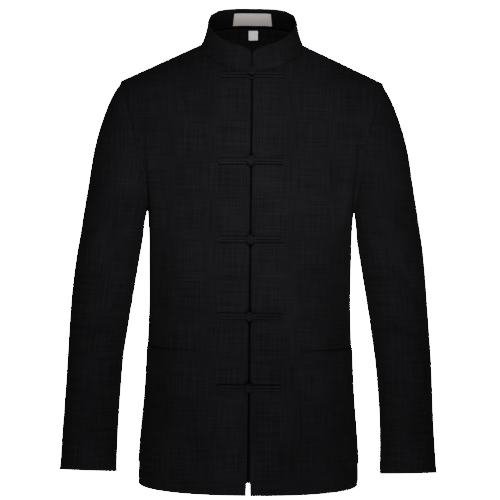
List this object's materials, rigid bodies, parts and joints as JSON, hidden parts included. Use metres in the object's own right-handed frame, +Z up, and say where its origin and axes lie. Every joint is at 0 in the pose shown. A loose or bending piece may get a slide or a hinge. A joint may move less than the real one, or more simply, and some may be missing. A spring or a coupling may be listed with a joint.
{
  "type": "tang jacket, worn and hollow",
  "caption": "Black linen tang jacket as worn: stand collar, edge-to-edge front with knotted frog closures, set-in long sleeves and two lower patch pockets",
  "frame": {"origin": "midway between the two points where the sides of the neck meet the shoulders, where the wearer's neck base holds the jacket up", "axes": "+Z up along the wearer's body, the front of the jacket faces -Y, +X is the wearer's left"},
  "size_m": [0.5964, 0.2576, 0.7719],
  "materials": {
    "black_linen": "matt black plain-woven linen with fine slubs both ways",
    "black_cord": "rolled bias strips of the same black cloth",
    "label_tape": "pale woven tape, bare",
    "tag_tape": "white woven tape, bare"
  },
  "bodies": {
    "root": {"front_left": "black_linen", "front_right": "black_linen", "back": "black_linen", "sleeve_left": "black_linen", "sleeve_right": "black_linen", "collar_outer": "black_linen", "collar_inner": "black_linen", "front_underlap": "black_linen", "pocket_left": "black_linen", "pocket_right": "black_linen", "frog_1_button_arm": "black_cord", "frog_1_loop_arm": "black_cord", "frog_1_knot": "black_cord", "frog_2_button_arm": "black_cord", "frog_2_loop_arm": "black_cord", "frog_2_knot": "black_cord", "frog_3_button_arm": "black_cord", "frog_3_loop_arm": "black_cord", "frog_3_knot": "black_cord", "frog_4_button_arm": "black_cord", "frog_4_loop_arm": "black_cord", "frog_4_knot": "black_cord", "frog_5_button_arm": "black_cord", "frog_5_loop_arm": "black_cord", "frog_5_knot": "black_cord", "neck_label": "label_tape", "size_tag": "tag_tape"}
  },
  "joints": []
}
